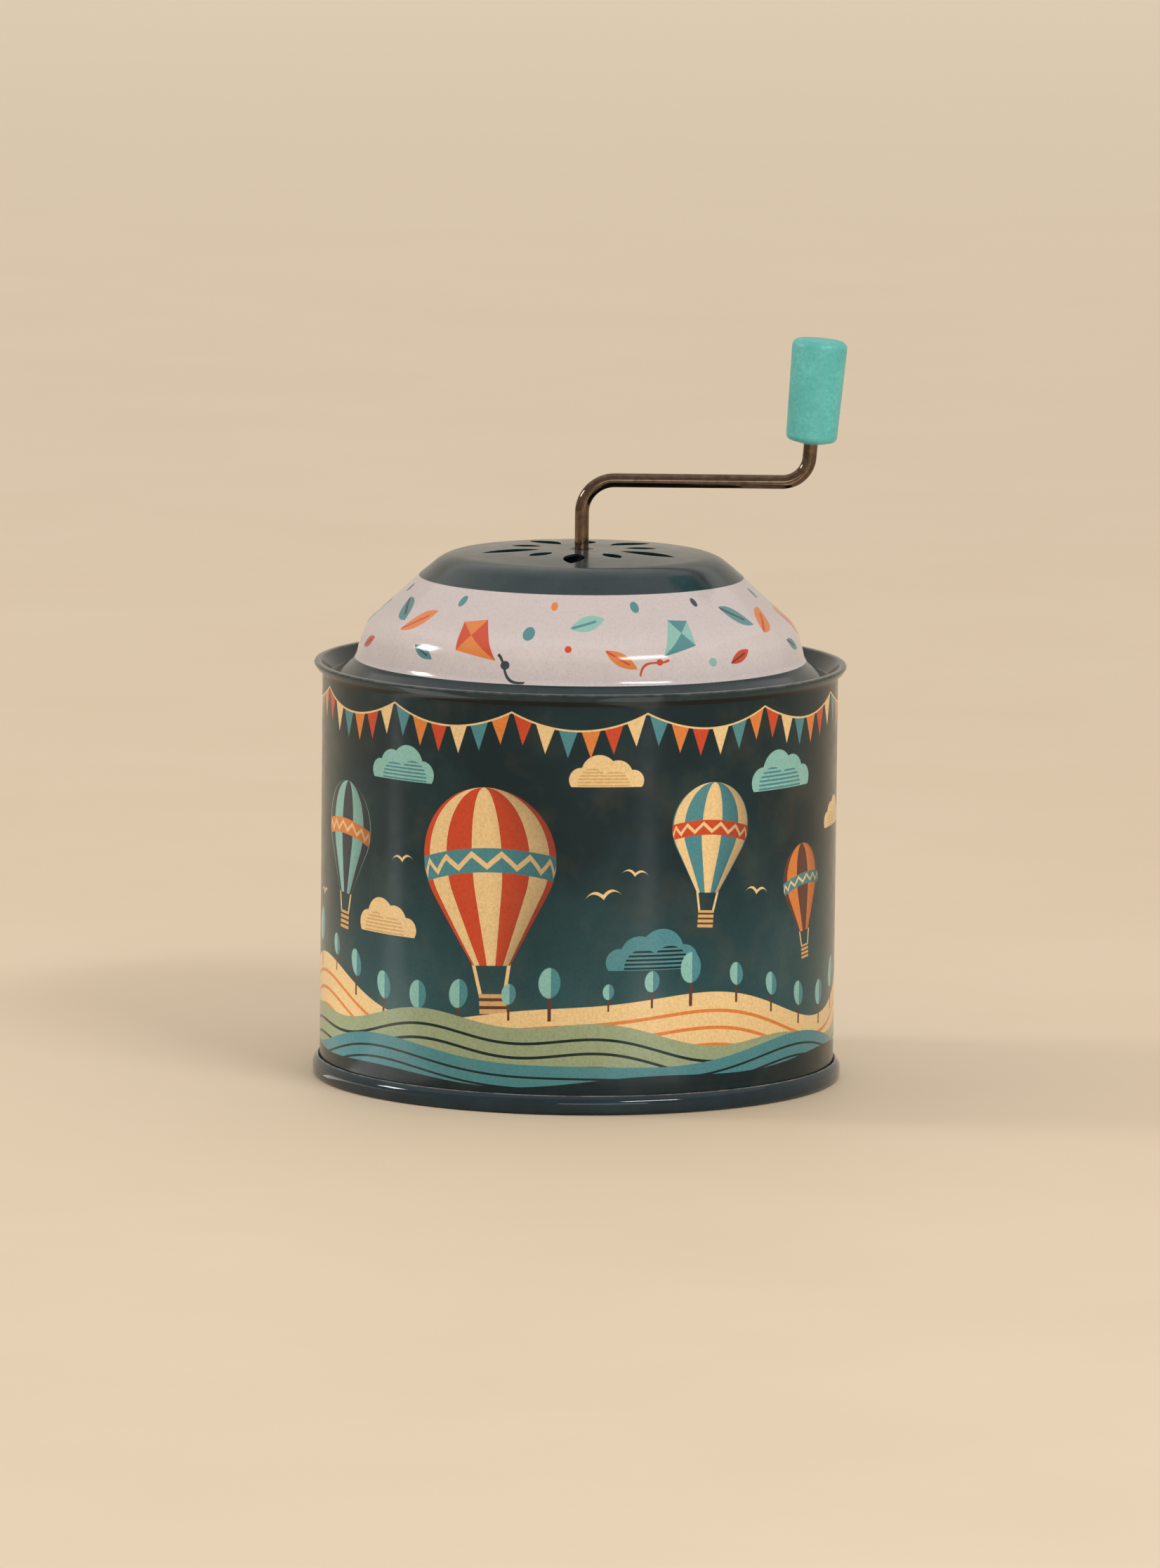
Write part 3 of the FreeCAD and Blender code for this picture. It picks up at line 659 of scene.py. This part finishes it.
def printGrove(tree, color, angle, ground, height, count, ink, shade):
    # one tree to each of count cells round the can, its size and place drawn by lot
    g = grove
    turn = calc(tree, "MULTIPLY", angle, count / (2 * math.pi))
    number = calc(tree, "FLOOR", turn)
    lot = calc(tree, "SINE", calc(tree, "MULTIPLY", number, g["lot"][0]))
    lot = calc(tree, "FRACT", calc(tree, "MULTIPLY", lot, g["lot"][1]))
    cell = 2 * math.pi * tin["wallRadius"] / count
    size = calc(tree, "MULTIPLY_ADD", lot, g["size"][1], g["size"][0])
    shift = calc(tree, "MULTIPLY_ADD", lot, g["place"][1], g["place"][0])
    x = calc(tree, "MULTIPLY", calc(tree, "ADD", calc(tree, "SUBTRACT", turn, number), shift), cell)
    x = calc(tree, "DIVIDE", x, size)
    y = calc(tree, "DIVIDE", calc(tree, "SUBTRACT", height, ground), size)
    trunk = calc(tree, "MULTIPLY", calc(tree, "ABSOLUTE", x), g["trunkSlim"])
    trunk = calc(tree, "MAXIMUM", trunk, calc(tree, "ABSOLUTE", y))
    color = layInk(tree, color, inks["brown"], inside(tree, trunk, g["trunkReach"]))
    dy = calc(tree, "MULTIPLY_ADD", y, g["crownFlat"], g["crownUp"])
    square = calc(tree, "MULTIPLY_ADD", x, x, calc(tree, "MULTIPLY", dy, dy))
    crown = layInk(tree, ink, shade, calc(tree, "GREATER_THAN", x, g["shadeFrom"]))
    return layInk(tree, color, crown, inside(tree, square, g["crownEdge"], g["crownSoft"]))


# bunting: the swags' dip in mm, the flags' taper and half width in parts of a flag's place, the cord in mm
bunting = {
    "dip": 2.4, "taper": 0.11, "half": 0.42, "soft": 0.03, "cordHalf": 0.13,
    "flags": ("rust", "cream", "teal", "orange"), "match": 0.2,
}


def printBunting(tree, color, angle, height, top, swags, flags):
    # a string of little flags in shallow swags all the way round
    b = bunting
    turn = calc(tree, "MULTIPLY_ADD", angle, swags / (2 * math.pi), 0.5)
    along = calc(tree, "MULTIPLY_ADD", calc(tree, "FRACT", turn), 2.0, -1.0)
    cord = calc(tree, "MULTIPLY_ADD", calc(tree, "MULTIPLY", along, along), b["dip"], top - b["dip"])
    drop = calc(tree, "SUBTRACT", cord, height)
    count = calc(tree, "MULTIPLY", turn, float(flags))
    number = calc(tree, "FLOORED_MODULO", calc(tree, "FLOOR", count), float(len(b["flags"])))
    cross = apart(tree, calc(tree, "FRACT", count), 0.5)
    flag = inside(tree, calc(tree, "MULTIPLY_ADD", drop, b["taper"], cross), b["half"], b["soft"])
    flag = both(tree, flag, calc(tree, "GREATER_THAN", drop, 0.0))
    cloth = inks[b["flags"][0]]
    for k, ink in enumerate(b["flags"][1:], 1):
        cloth = layInk(tree, cloth, inks[ink], calc(tree, "COMPARE", number, float(k), b["match"]))
    color = layInk(tree, color, cloth, flag)
    return layInk(tree, color, inks["cream"], inside(tree, calc(tree, "ABSOLUTE", drop), b["cordHalf"]))


# the same picture stands at the front and at the back; places are mm from its middle and mm up
wallPrint = {
    "balloons": [
        ((-13, 35.5), 10.0, "rust", "cream", "teal", 7, 3),
        ((19.5, 40.0), 6.2, "teal", "cream", "rust", 6, -4),
        ((38, 31.0), 5.0, "orange", "brown", "teal", 5, 5),
        ((-40, 37.5), 6.4, "mist", "navy", "orange", 6, -3),
    ],
    "clouds": [
        ((-27.5, 46.5), 5.6, "mist", "teal", 1), ((4.0, 47.0), 5.0, "cream", "tan", -1),
        ((33, 45.5), 6.2, "mist", "teal", -1), ((10.5, 21.5), 6.4, "teal", "night", 1),
        ((-30, 24.5), 5.6, "cream", "tan", -1), ((50, 38.0), 4.6, "cream", "tan", 1),
    ],
    "birds": [
        ((3.5, 31), 2.3, 8), ((8, 34), 1.7, -6), ((27.5, 30.5), 1.9, -8), ((-27, 34.5), 1.8, 6),
        ((-50, 27), 1.9, 4),
    ],
    # from the back to the front: height, waves as (count round, phase, swing), field, furrow and its step
    "hills": [
        (14.6, [(4, 20, 2.6), (6, 200, 1.3)], "cream", "orange", 2.4),
        (10.8, [(2, 140, 2.2), (8, 30, 0.9)], "sage", "night", 2.0),
        (7.4, [(4, 250, 1.5), (6, 70, 0.8)], "teal", "night", 1.6),
        (4.9, [(2, 320, 0.9), (6, 10, 0.5)], "night", "deep", 1.2),
    ],
    # trees on the farthest hill; the bunting's height, swags and flags to a swag; bare margins, the one under
    # the lip painted as shadow
    "trees": 34, "bunting": (56.2, 12, 6), "printTop": 57.2, "seamMargin": 2.6,
    # the sky lightens downwards between these heights
    "dusk": (8.0, 36.0),
}


def wallFinish():
    finish, tree, shader = newFinish("printedTin")
    place = objectPlace(tree)
    angle = angleAt(tree, place)
    height = heightAt(tree, place)
    panel = calc(tree, "WRAP", angle, math.pi / 2, -math.pi / 2)
    page = (calc(tree, "MULTIPLY", panel, tin["wallRadius"]), height)
    # sky: dark at the top, lighter towards the hills, in broad brushed patches
    dusk = spread(tree, height, *wallPrint["dusk"], 0.3, 0.0)
    lift = calc(tree, "ADD", dusk, spread(tree, noise(tree, place, *grains["sky"]), 0.45, 0.75, 0.0, 0.09))
    color = layInk(tree, inks["night"], inks["teal"], lift)
    for at, size, ink, shade, flip in wallPrint["clouds"]:
        color = printCloud(tree, color, page, at, size, inks[ink], inks[shade], flip)
    for at, size, a, b, belt, gores, turn in wallPrint["balloons"]:
        color = printBalloon(tree, color, page, at, size, inks[a], inks[b], inks[belt], gores, turn)
    for at, size, turn in wallPrint["birds"]:
        color = printBird(tree, color, page, at, size, inks["cream"], turn)
    trees = wallPrint["trees"]
    for row, (level, waves, field, furrow, step) in enumerate(wallPrint["hills"]):
        top = hillTop(tree, angle, level, waves)
        color = printHill(tree, color, top, height, inks[field], inks[furrow], step)
        if row == 0:
            color = printGrove(tree, color, angle, top, height, trees, inks["mist"], inks["teal"])
    color = printBunting(tree, color, angle, height, *wallPrint["bunting"])
    # press work: grain and a slight drift of tone
    grain = noise(tree, place, *grains["press"])
    color = layInk(tree, color, inks["deep"], spread(tree, grain, 0.4, 0.75, 0.0, 0.22))
    drift = noise(tree, place, *grains["drift"])
    color = layInk(tree, color, inks["tan"], spread(tree, drift, 0.5, 0.8, 0.0, 0.04))
    # bare margins: under the lip, painted near black as the lip's shadow, and along the seam at the back
    color = layInk(tree, color, inks["underLipShade"], calc(tree, "GREATER_THAN", height, wallPrint["printTop"]))
    seam = math.pi - wallPrint["seamMargin"] / tin["wallRadius"]
    margin = calc(tree, "GREATER_THAN", calc(tree, "ABSOLUTE", angle), seam)
    color = layInk(tree, color, inks["night"], margin)
    feed(tree, shader.inputs["Base Color"], color)
    sheen = noise(tree, place, *grains["sheen"])
    feed(tree, shader.inputs["Roughness"], spread(tree, sheen, 0.3, 0.7, 0.14, 0.24))
    shader.inputs["Specular IOR Level"].default_value = 0.27
    dents = noise(tree, place, *grains["wallDents"])
    feed(tree, shader.inputs["Normal"], bumpFrom(tree, dents, 0.05, 0.0004))
    return finish


# a kite in parts of its size: its waving tail, and the slopes of its upper and lower edges
kite = {
    "tailWaves": 3.6, "tailSwing": 0.22, "tailHalf": 0.05, "tailMiddle": -1.95, "tailReach": 0.65,
    "upperSlope": 0.9, "lowerSlope": -0.45, "half": 0.62,
}


def printKite(tree, color, page, at, size, turn, inkA, inkB, tail):
    k = kite
    x, y = seenFrom(tree, page, at, size, turn)
    soft = softness / size
    wave = calc(tree, "SINE", calc(tree, "MULTIPLY", y, k["tailWaves"]))
    wave = calc(tree, "MULTIPLY", wave, k["tailSwing"])
    ribbon = inside(tree, apart(tree, x, wave), k["tailHalf"], soft)
    span = inside(tree, apart(tree, y, k["tailMiddle"]), k["tailReach"], soft)
    color = layInk(tree, color, tail, both(tree, ribbon, span))
    body = calc(tree, "ABSOLUTE", x)
    body = calc(tree, "MULTIPLY_ADD", calc(tree, "MAXIMUM", y, 0.0), k["upperSlope"], body)
    body = calc(tree, "MULTIPLY_ADD", calc(tree, "MINIMUM", y, 0.0), k["lowerSlope"], body)
    quarter = calc(tree, "GREATER_THAN", calc(tree, "MULTIPLY", x, y), 0.0)
    return layInk(tree, color, layInk(tree, inkA, inkB, quarter), inside(tree, body, k["half"], soft))


# one third of the shoulder's print, repeated three times round; places as on the wall
lidPrint = {
    "reach": 28.0,
    "kites": [
        ((-15.5, 65.6), 4.0, 56, "rust", "orange", "navy"),
        ((14.5, 66.2), 3.4, -52, "teal", "mist", "rust"),
    ],
    "leaves": [
        ((-26.5, 66.6), 2.9, 30, "orange", "rust"), ((-22.2, 62.8), 2.0, -24, "teal", "navy"),
        ((1.0, 67.6), 2.6, 14, "mist", "teal"), ((5.2, 63.0), 2.4, -32, "orange", "rust"),
        ((26.4, 67.6), 2.8, -28, "teal", "navy"), ((22.5, 62.6), 2.0, 24, "rust", "brown"),
    ],
    "dots": [
        (-20.5, 69.6, 0.7, "teal"), (-7.2, 66.2, 0.85, "teal"), (-9.6, 62.0, 0.6, "navy"),
        (-4.2, 69.7, 0.55, "orange"), (8.6, 69.6, 0.7, "teal"), (10.2, 62.6, 0.45, "rust"),
        (19.6, 69.8, 0.55, "navy"), (-1.6, 64.4, 0.45, "rust"), (17.8, 62.2, 0.6, "mist"),
    ],
    # the ground is painted a little darker between these heights, a painted shade that tones down the slope
    # where more light falls from above; the skirt's enamel laps over the print
    "slope": (63.0, 67.0), "skirtLap": 0.1,
}


def lidFinish():
    finish, tree, shader = newFinish("printedLid")
    place = objectPlace(tree)
    height = heightAt(tree, place)
    third = calc(tree, "WRAP", angleAt(tree, place), math.pi / 3, -math.pi / 3)
    page = (calc(tree, "MULTIPLY", third, lidPrint["reach"]), height)
    tone = noise(tree, place, *grains["paper"])
    # painted shade: the paper darkens up the slope, against the stronger light from above
    slope = spread(tree, height, *lidPrint["slope"], 0.0, 1.0)
    color = layInk(tree, inks["paper"], inks["paperSlopeShade"], slope)
    color = layInk(tree, color, inks["paperPatch"], spread(tree, tone, 0.35, 0.75, 0.0, 0.5))
    for at, size, turn, a, b, tail in lidPrint["kites"]:
        color = printKite(tree, color, page, at, size, turn, inks[a], inks[b], inks[tail])
    for at, size, turn, ink, vein in lidPrint["leaves"]:
        color = printLeaf(tree, color, page, at, size, turn, inks[ink], inks[vein])
    for sx, sy, radius, ink in lidPrint["dots"]:
        color = printDisc(tree, color, page, (sx, sy), radius, inks[ink])
    grain = noise(tree, place, *grains["press"])
    color = layInk(tree, color, inks["paperGrain"], spread(tree, grain, 0.45, 0.8, 0.0, 0.2))
    # plain enamel on the cap, the skirt and the lip
    enamel = layInk(tree, inks["enamel"], inks["enamelPatch"], spread(tree, tone, 0.4, 0.7, 0.0, 1.0))
    enamel = layInk(tree, enamel, inks["deep"], spread(tree, grain, 0.4, 0.75, 0.0, 0.3))
    # the lip is tinted a little brown as a painted reflection of warm surroundings, and its edge is rubbed
    x, y = split(tree, place)[:2]
    radius = calc(tree, "SQRT", calc(tree, "MULTIPLY_ADD", x, x, calc(tree, "MULTIPLY", y, y)))
    lip = calc(tree, "GREATER_THAN", radius, lidEnds["grooveOut"][0] * mm)
    # painted reflection: a faint warm brown over the whole lip
    enamel = layInk(tree, enamel, inks["lipWarmReflection"], calc(tree, "MULTIPLY", lip, 0.06))
    crest = inside(tree, apart(tree, height, lipSizes["crest"]), 0.2, 0.25)
    wear = spread(tree, noise(tree, place, *grains["lipWear"]), 0.35, 0.65, 0.0, 0.4)
    enamel = layInk(tree, enamel, inks["lipRubbed"], both(tree, both(tree, crest, wear), lip))
    cap = inside(tree, calc(tree, "MULTIPLY", height, -1.0), -stepZ)
    skirt = inside(tree, height, lidEnds["skirt"][1] + lidPrint["skirtLap"])
    color = layInk(tree, color, enamel, calc(tree, "MAXIMUM", cap, skirt))
    feed(tree, shader.inputs["Base Color"], color)
    # the cap is duller than the rest, and the lip mirrors less
    sheen = spread(tree, noise(tree, place, *grains["sheen"]), 0.3, 0.7, 0.08, 0.15)
    feed(tree, shader.inputs["Roughness"], calc(tree, "MULTIPLY_ADD", cap, 0.07, sheen))
    feed(tree, shader.inputs["Specular IOR Level"], spread(tree, lip, 0.0, 1.0, 0.5, 0.32))
    dents = noise(tree, place, *grains["lidDents"])
    feed(tree, shader.inputs["Normal"], bumpFrom(tree, dents, 0.04, 0.0004))
    return finish


def baseFinish():
    finish, tree, shader = newFinish("rimEnamel")
    place = objectPlace(tree)
    tone = noise(tree, place, *grains["ring"])
    color = layInk(tree, inks["ring"], inks["ringPatch"], spread(tree, tone, 0.35, 0.7, 0.0, 1.0))
    grain = noise(tree, place, *grains["ringPress"])
    color = layInk(tree, color, inks["deep"], spread(tree, grain, 0.4, 0.75, 0.0, 0.3))
    # the ring's upper edge is rubbed through in places
    edge = inside(tree, apart(tree, heightAt(tree, place), ringTop), 0.1, 0.15)
    wear = spread(tree, noise(tree, place, *grains["ringWear"]), 0.35, 0.65, 0.2, 0.9)
    color = layInk(tree, color, inks["ringRubbed"], both(tree, edge, wear))
    feed(tree, shader.inputs["Base Color"], color)
    feed(tree, shader.inputs["Roughness"], spread(tree, tone, 0.3, 0.7, 0.05, 0.1))
    shader.inputs["Specular IOR Level"].default_value = 0.42
    dents = noise(tree, place, *grains["ringDents"])
    feed(tree, shader.inputs["Normal"], bumpFrom(tree, dents, 0.06, 0.0003))
    return finish


def metalFinish(name, light, dark, roughLow, roughHigh, scale=900.0):
    finish, tree, shader = newFinish(name)
    place = objectPlace(tree)
    tone = noise(tree, place, scale, 4.0, 0.65)
    color = layInk(tree, plain(light), plain(dark), spread(tree, tone, 0.35, 0.7, 0.0, 1.0))
    feed(tree, shader.inputs["Base Color"], color)
    shader.inputs["Metallic"].default_value = 1.0
    feed(tree, shader.inputs["Roughness"], spread(tree, tone, 0.3, 0.75, roughLow, roughHigh))
    feed(tree, shader.inputs["Normal"], bumpFrom(tree, tone, 0.03, 0.00005))
    return finish


def moulded(name, light, dark, rough):
    finish, tree, shader = newFinish(name)
    place = objectPlace(tree)
    tone = noise(tree, place, *grains["plastic"])
    grain = noise(tree, place, *grains["plasticSkin"])
    color = layInk(tree, plain(light), plain(dark), spread(tree, tone, 0.3, 0.75, 0.0, 1.0))
    color = layInk(tree, color, plain(dark), spread(tree, grain, 0.4, 0.65, 0.0, 0.8))
    feed(tree, shader.inputs["Base Color"], color)
    feed(tree, shader.inputs["Roughness"], spread(tree, grain, 0.3, 0.7, rough - 0.06, rough + 0.08))
    feed(tree, shader.inputs["Normal"], bumpFrom(tree, grain, 0.15, 0.0002))
    return finish


def dress(piece, *coats):
    piece.data.materials.clear()
    for coat in coats:
        piece.data.materials.append(coat)


dress(wall, wallFinish())
dress(lid, lidFinish())
dress(base, baseFinish(), metalFinish("barePlate", (168, 164, 156), (150, 147, 140), 0.34, 0.46, 120.0))
for face in base.data.polygons:
    # the panel under the tin is bare
    face.material_index = int(face.center.xy.length < tin["wallRadius"] * mm - mm)
# the plating's colour is darkened and browned as a painted reflection of a dark brown room
dress(crank, metalFinish("platedWireBrownReflection", (110, 93, 79), (82, 68, 57), 0.05, 0.11))
dress(knob, moulded("knobPlastic", (102, 195, 192), (77, 170, 169), 0.42))
finishes = {
    "brass": metalFinish("turnedBrass", (214, 178, 110), (176, 138, 76), 0.22, 0.4),
    "nylon": moulded("nylon", (226, 222, 210), (206, 200, 186), 0.5),
    "zinc_steel": metalFinish("zincPlate", (184, 186, 188), (140, 144, 150), 0.28, 0.5, 400.0),
    "spring_steel": metalFinish("springSteel", (150, 152, 156), (112, 114, 120), 0.22, 0.42),
    "screw_steel": metalFinish("screwSteel", (196, 194, 188), (150, 150, 146), 0.2, 0.36),
}
for part in frame["record"]["subparts"]:
    if part["material_slot"] in finishes:
        dress(nodes[part["node"]], finishes[part["material_slot"]])
dress(nodes["shaft_bush"], metalFinish("agedBronze", (92, 72, 54), (62, 48, 38), 0.3, 0.5))
print("finishes laid on")


# floor, light and camera

floorSizes = {"sides": 96, "radius": 12.0, "drop": 0.01, "lightFrom": 0.3, "lightTo": 2.4}


def makeFloor():
    f = floorSizes
    startPiece()
    bpy.ops.mesh.primitive_circle_add(vertices=f["sides"], radius=f["radius"], fill_type="NGON",
                                      location=(0, 0, -f["drop"] * mm))
    floor = endPiece("studioFloor")
    finish, tree, shader = newFinish("paleFloor")
    place = objectPlace(tree)
    color = layInk(tree, inks["floor"], inks["floorPatch"], noise(tree, place, *grains["floor"]))
    # painted light: the floor grows lighter far behind the tin, making up for the lamps' falloff
    depth = spread(tree, split(tree, place)[1], f["lightFrom"], f["lightTo"], 0.0, 1.0)
    color = layInk(tree, color, inks["floorFarLit"], depth)
    feed(tree, shader.inputs["Base Color"], color)
    shader.inputs["Roughness"].default_value = 0.6
    dress(floor, finish)


lamps = [
    # name, direction round from the front, height above the horizon, distance, size, watts
    ("windowLeft", -95, 27, 1.2, (0.24, 0.22), 3.4),
    ("windowRight", 37, 37, 1.2, (0.5, 0.22), 2.2),
    ("windowCore", 37, 37, 1.19, (0.46, 0.05), 2.4),
    ("frontFill", 12, 9, 1.75, (1.2, 0.4), 3.5),
]
glints = [
    # lamps flat on the floor that the wall mirrors as soft streaks: name, middle, turn, watts
    ("glintLeft", (-0.235, -0.026, 0.001), 0, 0.048),
    ("glintRight", (0.123, -0.224, 0.001), -59, 0.05),
]
glintSize = (0.4, 0.03)
overhead = {"place": (0, 1.7, 2.4), "size": (5.0, 5.0), "watts": 26}
studio = {"tone": (236, 224, 206), "strength": 0.7, "aim": (0, 0, 0.05)}


def areaLamp(name, place, turn, size, watts):
    data = bpy.data.lights.new(name, "AREA")
    data.shape = "RECTANGLE"
    data.size, data.size_y = size
    data.energy = watts
    lamp = bpy.data.objects.new(name, data)
    bpy.context.scene.collection.objects.link(lamp)
    lamp.location = place
    lamp.rotation_mode = "QUATERNION"
    lamp.rotation_quaternion = turn
    lamp.visible_camera = False


def makeLight():
    world = bpy.data.worlds.new("studio")
    bpy.context.scene.world = world
    world.use_nodes = True
    sky = world.node_tree.nodes["Background"]
    sky.inputs["Color"].default_value = plain(studio["tone"])
    sky.inputs["Strength"].default_value = studio["strength"]
    centre = Vector(studio["aim"])
    for name, around, high, far, size, watts in lamps:
        a, e = math.radians(around), math.radians(high)
        way = Vector((math.sin(a) * math.cos(e), -math.cos(a) * math.cos(e), math.sin(e)))
        areaLamp(name, centre + way * far, (-way).to_track_quat("-Z", "Y"), size, watts)
    areaLamp("overhead", overhead["place"], Quaternion(), overhead["size"], overhead["watts"])
    facingUp = Quaternion((1, 0, 0), math.pi)
    for name, place, turn, watts in glints:
        areaLamp(name, place, Quaternion((0, 0, 1), math.radians(turn)) @ facingUp, glintSize, watts)


camera = {
    "back": 1.62, "up": 0.264, "aimZ": 0.04143, "aimX": 0.00012, "roll": 0.6,
    "focusPx": 16424, "tallPx": 2233, "sensor": 36, "clipEnd": 50,
}


def makeCamera():
    data = bpy.data.cameras.new("photoCamera")
    data.sensor_width = camera["sensor"]
    data.lens = camera["focusPx"] / camera["tallPx"] * data.sensor_width
    data.clip_end = camera["clipEnd"]
    eye = bpy.data.objects.new("photoCamera", data)
    bpy.context.scene.collection.objects.link(eye)
    eye.location = (camera["aimX"], -camera["back"], camera["up"])
    look = Vector((camera["aimX"], 0, camera["aimZ"])) - eye.location
    eye.rotation_mode = "QUATERNION"
    roll = Quaternion((0, 0, 1), math.radians(camera["roll"]))
    eye.rotation_quaternion = look.to_track_quat("-Z", "Y") @ roll
    bpy.context.scene.camera = eye


makeFloor()
makeLight()
makeCamera()
bpy.context.scene.view_settings.view_transform = "Standard"
print("stage set")
